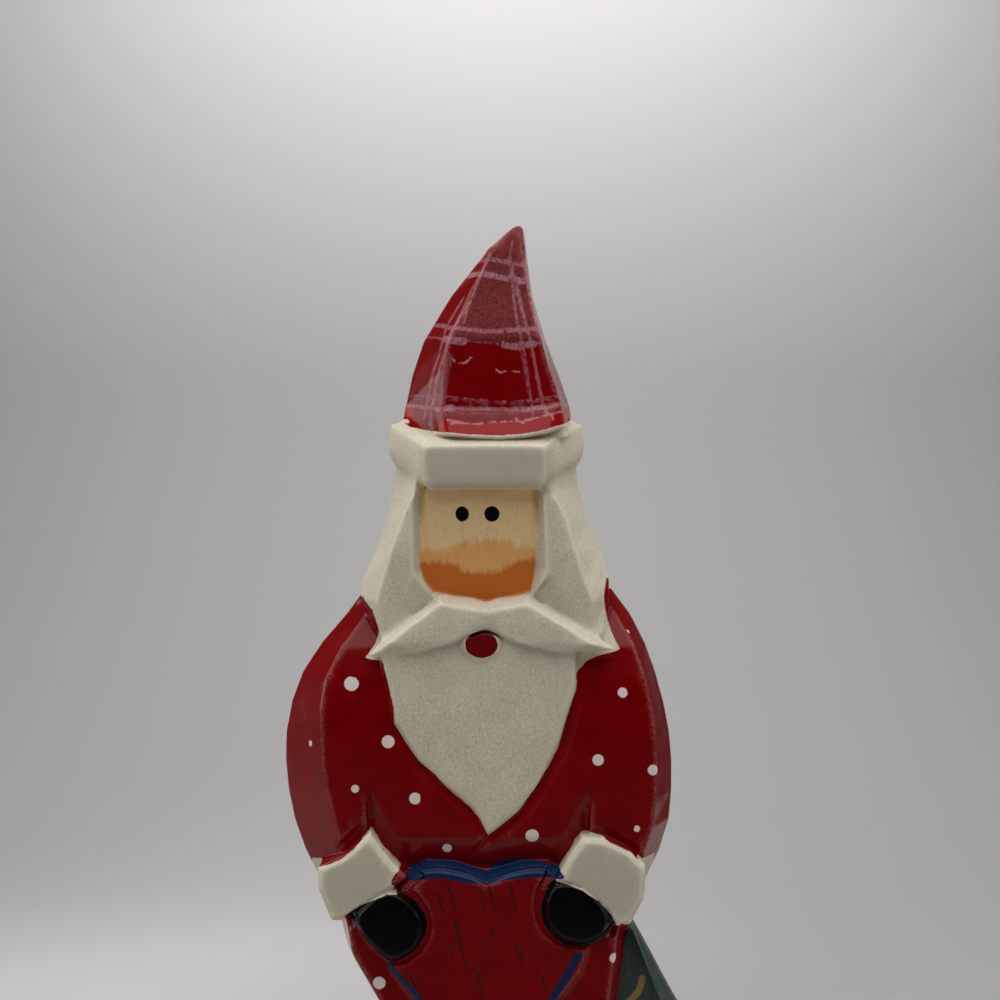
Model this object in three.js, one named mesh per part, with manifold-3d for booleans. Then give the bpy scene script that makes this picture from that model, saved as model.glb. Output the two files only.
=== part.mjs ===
// A whittled and painted wooden Santa who holds a heart, with a Christmas tree at his side.
// Millimetres, +Z up. He faces -Y, and the origin is at the middle of the underside.
// Figure, tree and base are carved from one thick board, so they are one solid. It is built as the
// carver works: a faceted block for each main form, then relief laid on and chips taken out.

import * as THREE from "three";
import { ConvexGeometry } from "three/addons/geometries/ConvexGeometry.js";
import { mergeVertices } from "three/addons/utils/BufferGeometryUtils.js";
import Module from "manifold-3d";

const wasm = await Module();
wasm.setup();

// Driving dimensions

const FIGURE_HEIGHT = 324; // floor to the tip of the hat
const CHEST = 0; // y of the chest, the plane that every depth is measured from
const BACK = 48; // y of the robe's back, so the robe is about 50 mm deep
const HEAD_BACK = 44;
const BRIM_TOP = 272;
const BRIM_BOTTOM = 256.5;
const BRIM_DROOP = 6.5; // how far the brim hangs lower in front than at its sides
const HAIR_END = 203;
const SHOULDER_TOP = 232;
const CHEST_BOTTOM = 149; // where the chest turns under, above the heart
const HEM_TOP = 31;
const HEM_BOTTOM = 14;
const BASE_HEIGHT = 8;
const BASE_CORNER = 14;
const BURIED = 12; // how deep the root of a relief reaches into the block
const TREE_X = 40.2; // the tree's axis
const TREE_TIP = 131;
const TREE_FRONT = 3;
const TREE_BACK = 36;

// Profiles: a measure at every height, from its values at a list of heights

// Straight from each value to the next, as a knife leaves it.
function cut(heights, values) {
  return (z) => {
    const above = heights.findIndex((height) => height >= z);
    if (above === 0) return values[0];
    if (above < 0) return values.at(-1);
    const below = above - 1;
    return THREE.MathUtils.mapLinear(z, heights[below], heights[above], values[below], values[above]);
  };
}

// Smooth through the values.
function sweep(heights, values) {
  const SAMPLES = 48;
  const curve = new THREE.CatmullRomCurve3(heights.map((z, i) => new THREE.Vector3(values[i], z, 0)));
  const points = curve.getPoints(SAMPLES);
  return cut(
    points.map((point) => point.y),
    points.map((point) => point.x),
  );
}

// Heights from one level to another in equal steps, both ends included.
function levels(from, to, steps) {
  return Array.from({ length: steps + 1 }, (_, i) => from + ((to - from) * i) / steps);
}

// Solids

// A closed geometry as a solid, turned outside out if its faces point in.
function solid(geometry) {
  const bare = geometry.index ? geometry.toNonIndexed() : geometry.clone();
  for (const name of Object.keys(bare.attributes)) {
    if (name !== "position") bare.deleteAttribute(name);
  }
  const merged = mergeVertices(bare, 1e-3);
  const vertProperties = merged.attributes.position.array;
  const triVerts = new Uint32Array(merged.index.array);
  const make = () => new wasm.Manifold(new wasm.Mesh({ numProp: 3, vertProperties, triVerts }));
  const made = make();
  if (made.volume() > 0) return made;
  for (let i = 0; i < triVerts.length; i += 3) {
    [triVerts[i + 1], triVerts[i + 2]] = [triVerts[i + 2], triVerts[i + 1]];
  }
  return make();
}

// Rings of the same number of [x, y, z] points, joined one to the next and closed at both ends.
function loft(rings) {
  const size = rings[0].length;
  const points = rings.flat();
  const index = [];
  for (let r = 0; r + 1 < rings.length; r++) {
    for (let i = 0; i < size; i++) {
      const a = r * size + i;
      const b = r * size + ((i + 1) % size);
      index.push(a, b, b + size, a, b + size, a + size);
    }
  }
  const close = (start, order) => {
    const middle = [0, 1, 2].map((axis) => {
      const ring = points.slice(start, start + size);
      return ring.reduce((sum, p) => sum + p[axis], 0) / size;
    });
    points.push(middle);
    for (let i = 0; i < size; i++) {
      const pair = [start + i, start + ((i + 1) % size)];
      index.push(pair[order], pair[1 - order], points.length - 1);
    }
  };
  const last = (rings.length - 1) * size;
  close(0, 1);
  close(last, 0);
  const geometry = new THREE.BufferGeometry();
  geometry.setAttribute("position", new THREE.Float32BufferAttribute(points.flat(), 3));
  geometry.setIndex(index);
  return solid(geometry);
}

// A block with a flat front between two ridges, facets back to its sides, and a back of two broad
// facets between bevels. Every measure is a profile: left and right are the silhouette, and side is
// where it lies in depth.
function block(heights, { left, leftRidge, rightRidge, right, front, side, back, lift }) {
  const BACK_BEVEL = 0.3; // of the half width
  const BACK_CROWN = 0.03; // of the whole width
  return loft(
    heights.map((z) => {
      const middle = (left(z) + right(z)) / 2;
      const backHalf = ((right(z) - left(z)) / 2) * (1 - BACK_BEVEL);
      const sideBack = back(z) - 0.32 * (back(z) - front(z));
      const crown = BACK_CROWN * (right(z) - left(z));
      const plan = [
        [leftRidge(z), front(z)],
        [rightRidge(z), front(z)],
        [right(z), side(z)],
        [right(z), sideBack],
        [middle + backHalf, back(z)],
        [middle, back(z) + crown],
        [middle - backHalf, back(z)],
        [left(z), sideBack],
        [left(z), side(z)],
      ];
      return plan.map(([x, y]) => [x, y, z + (lift ? lift(y) : 0)]);
    }),
  );
}

// An [x, z] outline as a slab from front to back, with the same bevel at both ends. Its width at
// the ends is the outline let out by grow, and between them let out by grow + size.
function slab(outline, { front, back, thickness, size, grow }) {
  const shape = new THREE.Shape(outline.map(([x, z]) => new THREE.Vector2(x, z)));
  const geometry = new THREE.ExtrudeGeometry(shape, {
    depth: back - front - 2 * thickness,
    bevelThickness: thickness,
    bevelSize: size,
    bevelOffset: grow,
    bevelSegments: 1,
  });
  return geometry.rotateX(Math.PI / 2).translate(0, back - thickness, 0);
}

// A raised form on an [x, z] outline, with its front edge bevelled inside the outline. The front
// leans back by tilt, in mm for each mm of height above level, and by turn for each mm across.
function relief(outline, { front, back = BURIED, bevel = 1, tilt = 0, level = 0, turn = 0, middle = 0 }) {
  const geometry = slab(outline, { front, back, thickness: bevel, size: bevel, grow: -bevel });
  const position = geometry.attributes.position;
  for (let i = 0; i < position.count; i++) {
    const lean = tilt * (position.getZ(i) - level) + turn * (position.getX(i) - middle);
    position.setY(i, position.getY(i) + lean);
  }
  return solid(geometry);
}

// A cutter for a sunk panel: the outline is its floor, and its walls slope out by size up to the lip.
function recess(outline, { floor, lip, size }) {
  const OUT = -16;
  return solid(slab(outline, { front: OUT, back: floor, thickness: floor - lip, size, grow: 0 }));
}

// The faceted solid that a few [x, y, z] corners span: a wing of the moustache, or a chip to cut.
function facets(...corners) {
  return solid(new ConvexGeometry(corners.map((corner) => new THREE.Vector3(...corner))));
}

// A chip cut in from the front: each corner is an [x, z] point and the depth of the cut there.
function chipUnder(...corners) {
  const OUT = -16;
  return facets(...corners.flatMap(([[x, z], depth]) => [[x, OUT, z], [x, depth, z]]));
}

// A pillow on an [x, z] outline, in rings that shrink about its middle towards its top.
function pillow(outline, { base, top, middle }) {
  const FULLNESS = 2.6; // 2 is a dome, and more is flatter with a rounder edge
  const [cx, cz] = middle;
  const rings = [0, 0.02, 0.45, 0.72, 0.9, 0.99].map((height) => {
    const size = (1 - height ** FULLNESS) ** (1 / FULLNESS);
    const y = height === 0 ? BURIED : base + (top - base) * height;
    return outline.map(([x, z]) => [cx + (x - cx) * size, y, cz + (z - cz) * size]);
  });
  return loft(rings);
}

// A closed smooth outline through a few [x, z] points.
function rounded(points, count) {
  const curve = new THREE.CatmullRomCurve3(
    points.map(([x, z]) => new THREE.Vector3(x, z, 0)),
    true,
  );
  return curve.getSpacedPoints(count).slice(0, count).map((p) => [p.x, p.y]);
}

const join = (...solids) => solids.reduce((whole, next) => whole.add(next));

// Hat and brim

// The hat leans to his left and curls to a point. Its upper half is cut back from the front.
function hat() {
  const at = [266, 276, 284, 293, 306, 319, FIGURE_HEIGHT];
  return block([...at, 299, 313].sort((a, b) => a - b), {
    left: cut(at, [-24.6, -22.2, -20.2, -17.2, -9.4, 1, 8.4]),
    leftRidge: cut(at, [-10.4, -11.2, -11, -9.4, -4, 3, 8.8]),
    rightRidge: cut(at, [23, 20.6, 17.7, 15.3, 12.4, 10.6, 10.2]),
    right: cut(at, [26, 23.8, 20.7, 17.2, 13.4, 11.6, 10.8]),
    front: cut(at, [4.6, 5.5, 6.2, 7, 12.4, 16.4, 18]),
    side: cut(at, [20, 20.4, 20.7, 21, 21.2, 21.3, 21.4]),
    back: cut(at, [41, 39.5, 38.4, 37, 32, 26.4, 24]),
  });
}

// The fur brim: a band bevelled under and over, hanging lower in front.
function brim() {
  const HALF = 27.4;
  const CENTRE = 0.5;
  const RIDGE = 16.4;
  const SIDE = 15;
  const at = [BRIM_BOTTOM, BRIM_BOTTOM + 3, BRIM_BOTTOM + 6, BRIM_TOP - 5, BRIM_TOP - 2.4, BRIM_TOP];
  const inset = cut(at, [3.4, 1, 0, 0.2, 0.9, 3]);
  const sunk = cut(at, [4, 0.4, 0.4, 0.3, 0.3, 2.8]);
  return block(at, {
    left: (z) => CENTRE - HALF + inset(z),
    leftRidge: (z) => -RIDGE + 0.4 * inset(z),
    rightRidge: (z) => RIDGE - 0.4 * inset(z),
    right: (z) => CENTRE + HALF - inset(z),
    front: (z) => CHEST - 1 + sunk(z),
    side: () => SIDE,
    back: (z) => HEAD_BACK + 3 - sunk(z),
    lift: (y) => -BRIM_DROOP * (1 - THREE.MathUtils.clamp(y / SIDE, 0, 1)),
  });
}

// Head

// The hair falls from the brim to the shoulders and splays as it falls.
function hair() {
  const at = [HAIR_END, 212, 221, 226, 235, 243, 252, 262];
  return block(at, {
    left: cut(at, [-25, -28.6, -34.1, -33.8, -29.9, -27.3, -25.2, -24]),
    leftRidge: cut(at, [-24, -27.4, -29, -27.6, -25, -22.2, -18.6, -17]),
    rightRidge: cut(at, [26, 28, 29.6, 27.4, 24.5, 22.3, 17.9, 16]),
    right: cut(at, [27, 32.5, 34.2, 34.5, 32.2, 29, 26.2, 25]),
    front: cut(at, [3, 2.7, 2.4, 2.2, 1.8, 2.2, 2.6, 4]),
    side: cut(at, [3, 4.4, 9, 10.8, 14, 15.4, 17, 17]),
    back: cut(at, [BACK + 1, BACK + 0.8, BACK + 0.6, BACK + 0.5, 46.2, 44.4, 42.6, 41]),
  });
}

// The face is a flat panel sunk between the locks, with sloping walls.
const FACE_DEPTH = 7;
const faceOutline = [
  [-16.6, 253],
  [-17.3, 246],
  [-17, 229.5],
  [-13.8, 223.4],
  [0.5, 220],
  [12.3, 223.4],
  [14.5, 230],
  [14.2, 246],
  [14, 253],
];
function faceRecess() {
  return recess(faceOutline, { floor: FACE_DEPTH, lip: 1.4, size: 2.6 });
}

// Under each lock a three-sided chip slopes in to the root of the moustache.
function lockChips() {
  const chip = (top, low, corner) => {
    const root = [(low[0] + corner[0]) / 2, (low[1] + corner[1]) / 2 - 1.5];
    return chipUnder([top, 1.8], [low, 2.4], [corner, 5.4], [root, 5]);
  };
  return join(
    chip([-19, 230], [-25.6, 213], [-13.4, 221.6]),
    chip([18.4, 229], [28.4, 213.4], [12.4, 221.6]),
  );
}

// Each wing of the moustache is a long chip-shaped block: a lit top bevel, a broad front facet, and
// an edge that overhangs the beard.
function moustache() {
  const PROUD = -3.4;
  const wing = (side, { inner, shoulder, tip, under, lower }) =>
    facets(
      [0.4, 6, 221.5],
      [0.4, PROUD + 1.4, 218.5],
      [inner[0], 4, inner[1] + 1.2],
      [inner[0], PROUD + 1.4, inner[1] - 1],
      [shoulder[0], 3.4, shoulder[1] + 1.4],
      [shoulder[0] - side * 0.8, PROUD + 0.4, shoulder[1] - 1.2],
      [tip[0], 2.5, tip[1] + 0.4],
      [tip[0], 0, tip[1]],
      [under[0], PROUD + 1.2, under[1]],
      [lower[0], PROUD + 0.8, lower[1]],
      [0.4, PROUD + 1.6, 213.8],
      [0.4, 6, 212.6],
      [lower[0], 6, lower[1] - 0.6],
      [under[0], 6, under[1] - 0.6],
    );
  const left = wing(-1, {
    inner: [-12, 221.6],
    shoulder: [-26, 211.2],
    tip: [-31.6, 205.8],
    under: [-18, 207.6],
    lower: [-8.6, 210.4],
  });
  const right = wing(1, {
    inner: [12, 221.4],
    shoulder: [29.6, 210.9],
    tip: [36, 207.6],
    under: [20, 207.8],
    lower: [9.2, 210.2],
  });
  return join(left, right);
}

// The beard hangs to a point on the chest, and the robe is cut back along its right edge.
const beardOutline = [
  [-27.9, 211],
  [-27.6, 204],
  [-25.4, 196],
  [-24.3, 188.6],
  [-17.8, 178.2],
  [-10, 170.8],
  [-2.2, 164.2],
  [1.1, 157.8],
  [3.4, 159.4],
  [8.8, 163.8],
  [14.4, 171],
  [20.2, 182.6],
  [24.8, 198],
  [24.5, 211],
];
function beard() {
  return relief(beardOutline, { front: CHEST - 0.6, bevel: 0.7 });
}
function beardGroove() {
  const shifted = beardOutline.map(([x, z]) => [x + (x > 1 ? 0.9 : 0.1), z - 0.5]);
  return recess(shifted, { floor: CHEST + 1.8, lip: CHEST - 0.4, size: 2.4 });
}

// Robe

// Shoulders, arms and chest: broad at the elbows, with a wide facet down the outside of the right
// arm and a narrow one down the left.
function torso() {
  const at = [143, 156, 170, 184, 198, 209, 220, SHOULDER_TOP];
  return block([...levels(143, 225, 10), SHOULDER_TOP], {
    left: sweep(at, [-45.5, -51.8, -55, -55.3, -51.9, -45.2, -35.8, -28]),
    leftRidge: sweep(at, [-35, -38.6, -42.3, -43.8, -43.2, -38.6, -30.2, -22]),
    rightRidge: sweep(at, [38.5, 44.4, 46.6, 46.3, 44.2, 40.8, 34.4, 24]),
    right: sweep(at, [44.5, 50.6, 52.3, 51.5, 48.4, 44.6, 38.5, 28]),
    front: cut(at, [0.4, 0.2, CHEST, CHEST, 0.9, 4.9, 10.9, 15]),
    side: cut(at, [14, 15.5, 16.5, 17, 17, 17, 17.3, 18]),
    back: cut(at, [BACK - 1, BACK, BACK, BACK, BACK, BACK - 1, BACK - 2, BACK - 8]),
  });
}

// The valleys between chest and arms, the turn of the chest above the heart, and a deep nick where
// the beard meets the moustache.
function chestChips() {
  const valley = (top, deep, edge) => {
    const foot = CHEST_BOTTOM - 4;
    const inward = -4 * Math.sign(deep[0]);
    return chipUnder(
      [top, CHEST],
      [deep, CHEST + 3.6],
      [edge, CHEST + 0.2],
      [[deep[0], foot], CHEST + 5],
      [[edge[0] + inward, foot], CHEST + 2],
    );
  };
  const turn = chipUnder(
    [[-24.5, CHEST_BOTTOM + 9], CHEST],
    [[22.5, CHEST_BOTTOM + 9], CHEST],
    [[-31, CHEST_BOTTOM - 5], CHEST + 5.6],
    [[29, CHEST_BOTTOM - 5], CHEST + 5.6],
  );
  const notch = chipUnder([[23.6, 207], CHEST + 4], [[28.6, 207], CHEST + 3], [[25, 201.4], CHEST + 0.4]);
  return join(
    valley([-32.3, 176.5], [-30.8, 158], [-25.4, 160]),
    valley([29.2, 173.4], [28, 160], [23.3, 162]),
    turn,
    notch,
  );
}

// On the back a long chip marks each sleeve off from the robe.
function sleeveChips() {
  const chip = (x, lean) =>
    facets(
      [x + lean, BACK - 0.4, 206],
      [x - 2.6, BACK + 4, 176],
      [x + 2.6, BACK + 4, 176],
      [x, BACK - 3.2, 172],
      [x + lean, BACK + 4, 206],
      [x - 1, BACK + 4, 140],
      [x - 1, BACK - 2, 140],
    );
  return join(chip(-33, 3), chip(33, -3));
}

// The cuffs are flat fur bands, wide at the wrist, that stand proud of the sleeves.
const CUFF_FRONT = -5;
const leftCuff = [
  [-44.8, 149.7],
  [-37.2, 153.3],
  [-30.6, 159.2],
  [-24.8, 151.6],
  [-20.4, 147.6],
  [-24.6, 144.4],
  [-31.3, 139.8],
  [-38.4, 135.4],
  [-41, 135.4],
  [-44.6, 144],
];
const rightCuff = [
  [43.6, 150],
  [39.2, 154.3],
  [32.2, 157.7],
  [26.4, 158],
  [22.6, 152.6],
  [19.2, 146.6],
  [24.2, 145],
  [28.4, 142.4],
  [32.4, 138.4],
  [35.4, 133.8],
  [39.4, 134.5],
  [43.2, 141.6],
];
function cuffs() {
  const shape = { front: CUFF_FRONT, back: 34, bevel: 1.3 };
  return join(
    relief(leftCuff, { ...shape, turn: -0.12, middle: -28 }),
    relief(rightCuff, { ...shape, turn: 0.1, middle: 27 }),
  );
}

// The sleeves are cut back round the cuffs.
function cuffGrooves() {
  const shape = { floor: CHEST + 1.4, lip: CHEST - 0.3, size: 3.4 };
  return join(recess(leftCuff, shape), recess(rightCuff, shape));
}

// The mittens are smooth ovals that bulge from the cuffs and sit in shallow hollows.
const leftMitten = [
  [-25.4, 144.6],
  [-19.4, 141.3],
  [-15.6, 134.6],
  [-17.6, 128.2],
  [-24.4, 124.2],
  [-30.4, 128.6],
  [-35.4, 136.2],
  [-31.4, 141.4],
];
const rightMitten = [
  [18.4, 146.2],
  [25, 146],
  [30.6, 142],
  [34.4, 135.6],
  [31.4, 130.6],
  [25.8, 129],
  [20.4, 130.4],
  [16.4, 134.6],
  [15.6, 140.8],
];
function mittens() {
  const FRONT = -8;
  return join(
    pillow(rounded(leftMitten, 20), { base: 0, top: FRONT, middle: [-24, 134.6] }),
    pillow(rounded(rightMitten, 20), { base: 0, top: FRONT, middle: [25, 138] }),
  );
}

// The same outline let out about a middle point.
function letOut(outline, [cx, cz], scale) {
  return outline.map(([x, z]) => [cx + (x - cx) * scale, cz + (z - cz) * scale]);
}
function mittenHollows() {
  const hollow = (outline, middle) =>
    recess(rounded(letOut(outline, middle, 1.02), 16), { floor: -1.6, lip: -4.4, size: 3 });
  return join(hollow(leftMitten, [-24, 134.6]), hollow(rightMitten, [25, 138]));
}

// Lower body

// Below the hands the robe draws in, then spreads to the fur hem.
const skirtAt = [BASE_HEIGHT - 1, HEM_BOTTOM, 40, 66, 91, 108, 129, 150];
const skirt = {
  left: sweep(skirtAt, [-33, -35, -30.8, -27.6, -26.2, -28.8, -39.4, -43.5]),
  leftRidge: sweep(skirtAt, [-24, -26, -23.4, -21.4, -21.4, -25.2, -36.6, -38]),
  rightRidge: sweep(skirtAt, [26, 28, 26.4, 26.6, 29.4, 32.8, 35.6, 37]),
  right: sweep(skirtAt, [35, 37, 34.2, 33.4, 34.6, 37, 39.8, 41.6]),
  front: cut([...skirtAt.slice(0, -1), 142, 150], [-1, -2.6, -1, 0.1, 0.6, -0.6, -1.6, -2, 5]),
  side: () => 13,
  back: () => BACK - 1,
};
function robeSkirt() {
  return block([BASE_HEIGHT - 1, ...levels(HEM_BOTTOM, 142, 8), 150], skirt);
}

// The fur hem stands proud of the robe all round.
function hem() {
  const OUT = 2.4;
  const at = [HEM_BOTTOM, HEM_BOTTOM + 3, HEM_TOP - 3, HEM_TOP];
  const bow = cut(at, [0.4, OUT, OUT, 0.4]);
  const out = (profile, sign) => (z) => profile(z) + sign * bow(z);
  return block(at, {
    left: out(skirt.left, -1),
    leftRidge: out(skirt.leftRidge, -1),
    rightRidge: out(skirt.rightRidge, 1),
    right: out(skirt.right, 1),
    front: out(skirt.front, -1),
    side: skirt.side,
    back: out(skirt.back, 1),
  });
}

// The toes of two boots show under the hem.
function boots() {
  const toe = (x) => {
    const rings = [
      [BASE_HEIGHT - 1, 10.5, -14],
      [BASE_HEIGHT + 4, 11, -14.5],
      [BASE_HEIGHT + 9, 9.5, -11],
      [HEM_BOTTOM + 6, 7, -4],
    ].map(([z, half, front]) => [
      [x - half * 0.5, front, z],
      [x + half * 0.5, front, z],
      [x + half, front + 6, z],
      [x + half, BURIED, z],
      [x - half, BURIED, z],
      [x - half, front + 6, z],
    ]);
    return loft(rings);
  };
  return join(toe(-11.5), toe(13.5));
}

// The heart he holds: two lobes under the chest and a point below the mittens.
const HEART = { x: 0.8, top: 149.6, dip: 145.6, tip: 90.5, half: 27.6 };
function heartOutline() {
  const { x, top, dip, tip, half } = HEART;
  const shape = new THREE.Shape();
  shape.moveTo(x, tip);
  shape.quadraticCurveTo(x + half * 0.62, tip + 19, x + half * 0.94, 121.5);
  shape.bezierCurveTo(x + half * 1.12, 134, x + half * 0.96, top + 0.6, x + half * 0.5, top);
  shape.quadraticCurveTo(x + half * 0.2, top - 0.4, x, dip);
  shape.quadraticCurveTo(x - half * 0.2, top - 0.4, x - half * 0.5, top);
  shape.bezierCurveTo(x - half * 0.96, top + 0.6, x - half * 1.12, 134, x - half * 0.94, 121.5);
  shape.quadraticCurveTo(x - half * 0.62, tip + 19, x, tip);
  return shape.getPoints(7).slice(0, -1).map((p) => [p.x, p.y]);
}
function heart() {
  return relief(heartOutline(), { front: -4.2, bevel: 1.2, tilt: -0.055, level: HEART.top });
}

// Tree

// One tier of boughs, widening from its top to a lower edge that is undercut and nicked into sprays.
function tier({ top, bottom, topHalf, bottomHalf }) {
  const BEVEL = 5.8; // the facet down the outside of the tree, seen from the front
  const UNDERCUT = 4;
  const ring = (z, half, inset) => {
    const ridge = Math.max(half - BEVEL, half * 0.25);
    const plan = [
      [-ridge, TREE_FRONT + inset],
      [ridge, TREE_FRONT + inset],
      [half, TREE_FRONT + 10],
      [half, TREE_BACK - 10],
      [ridge, TREE_BACK - inset],
      [-ridge, TREE_BACK - inset],
      [-half, TREE_BACK - 10],
      [-half, TREE_FRONT + 10],
    ];
    return plan.map(([x, y]) => [TREE_X + x, y, z]);
  };
  const boughs = loft([
    ring(bottom - UNDERCUT, bottomHalf * 0.62, 3),
    ring(bottom, bottomHalf, 0),
    ring(top, topHalf, 0),
  ]);
  const nick = (x) => {
    const outline = [[x - 2.6, bottom - 8], [x + 2.6, bottom - 8], [x, bottom + 4.5]];
    return solid(slab(outline, { front: -6, back: 60, thickness: 1, size: 0, grow: 0 }));
  };
  const nicks = [-0.66, -0.22, 0.22, 0.66].map((share) => nick(TREE_X + share * bottomHalf));
  return nicks.reduce((rest, next) => rest.subtract(next), boughs);
}
function tree() {
  const TRUNK = 10;
  const trunk = new THREE.BoxGeometry(TRUNK, 14, 30).translate(TREE_X, 20, BASE_HEIGHT + 12);
  return join(
    tier({ top: TREE_TIP, bottom: 98, topHalf: 0.9, bottomHalf: 19 }),
    tier({ top: 112, bottom: 61, topHalf: 9, bottomHalf: 22.5 }),
    tier({ top: 76, bottom: 24, topHalf: 12, bottomHalf: 25.5 }),
    solid(trunk),
  );
}

// Base

// A low slab under the boots and the tree.
function base() {
  const [x0, x1, y0, y1] = [-46, 71, -18, BACK + 2];
  const shape = new THREE.Shape();
  const r = BASE_CORNER;
  shape.absarc(x1 - r, y1 - r, r, 0, Math.PI / 2);
  shape.absarc(x0 + r, y1 - r, r, Math.PI / 2, Math.PI);
  shape.absarc(x0 + r, y0 + r, r, Math.PI, Math.PI * 1.5);
  shape.absarc(x1 - r, y0 + r, r, Math.PI * 1.5, Math.PI * 2);
  const EDGE = 1.2;
  const geometry = new THREE.ExtrudeGeometry(shape, {
    depth: BASE_HEIGHT - 2 * EDGE,
    bevelThickness: EDGE,
    bevelSize: EDGE,
    bevelOffset: -EDGE,
    bevelSegments: 1,
    curveSegments: 5,
  });
  return solid(geometry.translate(0, 0, EDGE));
}

// The whole carving

function carving() {
  const head = join(hair().subtract(faceRecess()).subtract(lockChips()), brim(), hat());
  const body = join(torso().subtract(chestChips()).subtract(sleeveChips()), robeSkirt(), hem(), boots());
  const front = join(body.subtract(beardGroove()), heart());
  const robe = front.subtract(mittenHollows()).subtract(cuffGrooves());
  return join(robe, head, beard(), moustache(), cuffs(), mittens(), tree(), base());
}

// A solid as a flat-shaded mesh.
function mesh(name, made, material) {
  const { vertProperties, triVerts } = made.getMesh();
  const geometry = new THREE.BufferGeometry();
  geometry.setAttribute("position", new THREE.BufferAttribute(vertProperties, 3));
  geometry.setIndex(new THREE.BufferAttribute(triVerts, 1));
  const result = new THREE.Mesh(geometry, material);
  result.name = name;
  return result;
}

const paint = new THREE.MeshStandardMaterial({
  color: 0x8c1018,
  roughness: 0.35,
  metalness: 0,
  flatShading: true,
});

const santa = mesh("santa", carving(), paint);
const figure = new THREE.Group();
figure.add(santa);
santa.geometry.computeBoundingBox();
const { min, max } = santa.geometry.boundingBox;
santa.position.set(-(min.x + max.x) / 2, -(min.y + max.y) / 2, -min.z);

export default figure;
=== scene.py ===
"""The looks of a whittled and painted wooden Santa who holds a heart, with a tree at his side."""

import math

import bpy
import numpy as np
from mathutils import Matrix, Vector


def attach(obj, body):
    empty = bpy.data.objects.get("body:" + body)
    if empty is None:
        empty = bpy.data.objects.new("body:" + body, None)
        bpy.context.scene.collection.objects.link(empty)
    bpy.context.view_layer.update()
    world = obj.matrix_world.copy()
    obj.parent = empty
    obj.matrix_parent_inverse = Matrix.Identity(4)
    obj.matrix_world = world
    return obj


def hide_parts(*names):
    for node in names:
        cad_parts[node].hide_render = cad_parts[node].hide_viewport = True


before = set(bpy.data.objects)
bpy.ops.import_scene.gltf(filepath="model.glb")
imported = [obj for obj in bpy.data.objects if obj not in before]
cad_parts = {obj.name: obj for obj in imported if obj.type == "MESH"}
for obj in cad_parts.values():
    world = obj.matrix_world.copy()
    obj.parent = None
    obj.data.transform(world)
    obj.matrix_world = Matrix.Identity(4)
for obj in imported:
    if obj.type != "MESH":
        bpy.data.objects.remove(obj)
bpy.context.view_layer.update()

# Measures
# Every line below is in the carver's marks: millimetres, X to the right of the hat's middle, Y back
# from the chest and Z up from the floor. ORIGIN is where the object's own frame lies in them.

MM = 0.001
ORIGIN = np.array([7.75, 16.85, 0.0])
VOXEL = 0.45
TRIANGLES = 192_000

BRIM_TOP = 272.0
BRIM_DROOP = 6.5  # how far the brim hangs lower in front than at its sides
BRIM_SIDE = 15.0
HEM_TOP = 31.0
HEM_BOTTOM = 14.0
BASE_TOP = 8.0
TREE_FRONT = 8.0
TREE_BACK = 36.0
TREE_TOP = 134.0
TOES_MIDDLE = 1.0
TOES_HALF = 26.0
MITTEN_FRONT = -5.4
HEART_FRONT = -4.2
FRONT_END = 12.0  # the lines of the front hold to this depth, and those of the back from 6 mm on

# The camera stands level with the beard, at the height and distance that the photograph shows.
EYE = (4.32, -480.0, 248.4)
LENS = 64
SENSOR = 36


def to_frame(point):
    return (np.array(point) - ORIGIN) * MM


def make_camera():
    camera = bpy.data.objects.new("camera", bpy.data.cameras.new("camera"))
    camera.data.lens = LENS
    camera.data.sensor_width = SENSOR
    camera.data.clip_start = 0.01
    camera.location = to_frame(EYE)
    camera.rotation_euler = (math.radians(90), 0, 0)
    bpy.context.scene.collection.objects.link(camera)
    bpy.context.scene.camera = camera


make_camera()

# Lines of the front, as [x, z]

HAT_FOOT = [
    (-32, 273), (-23.4, 269.6), (-18.8, 268.2), (-12, 266.9), (-3.8, 266.1), (4.3, 265.8),
    (11.1, 266.3), (16.5, 267.4), (21.2, 269), (26.1, 271.5), (34, 275),
]
HEAD_LEFT = [
    (-40, 224), (-33, 221.7), (-32.4, 220.4), (-30.5, 218.5), (-29.3, 214.9), (-28.6, 212.5),
    (-29.7, 209.2), (-32.3, 205.6), (-31.3, 205.1), (-28.1, 204.8),
]
BEARD_LEFT = [
    (-27.2, 204.4), (-25.7, 197.7), (-24.4, 192.3), (-24.3, 188), (-20.6, 182.1), (-17.5, 177.7),
    (-13.5, 174.5), (-9.5, 170.2), (-4, 165.6), (-1.3, 162.5), (0.1, 160), (1.2, 157.8),
]
BEARD_RIGHT = [
    (5.1, 160.8), (9.4, 164.3), (12.4, 168.6), (15, 172.4), (18.3, 178), (20, 181.5),
    (23.2, 192.3), (25.1, 198), (24.9, 201.2), (25.5, 202.3), (27, 203.7),
]
HEAD_RIGHT = [
    (27.9, 204.7), (30.5, 205.9), (34.4, 206.9), (37, 207.7), (34.7, 212.6), (33.3, 218),
    (32.8, 221.8), (33.6, 226.7), (42, 230),
]
FACE = [
    (-17.2, 250.3), (-17.6, 240.2), (-17.5, 229.8), (-16.4, 226.6), (-14, 223.3), (-8, 222.2),
    (-2.8, 221.7), (0.5, 220.4), (3.8, 221.7), (8.4, 222.2), (12.5, 223.3), (13.5, 226.6),
    (14.1, 232), (14.6, 240.2), (14.4, 256), (-17, 256),
]
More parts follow.
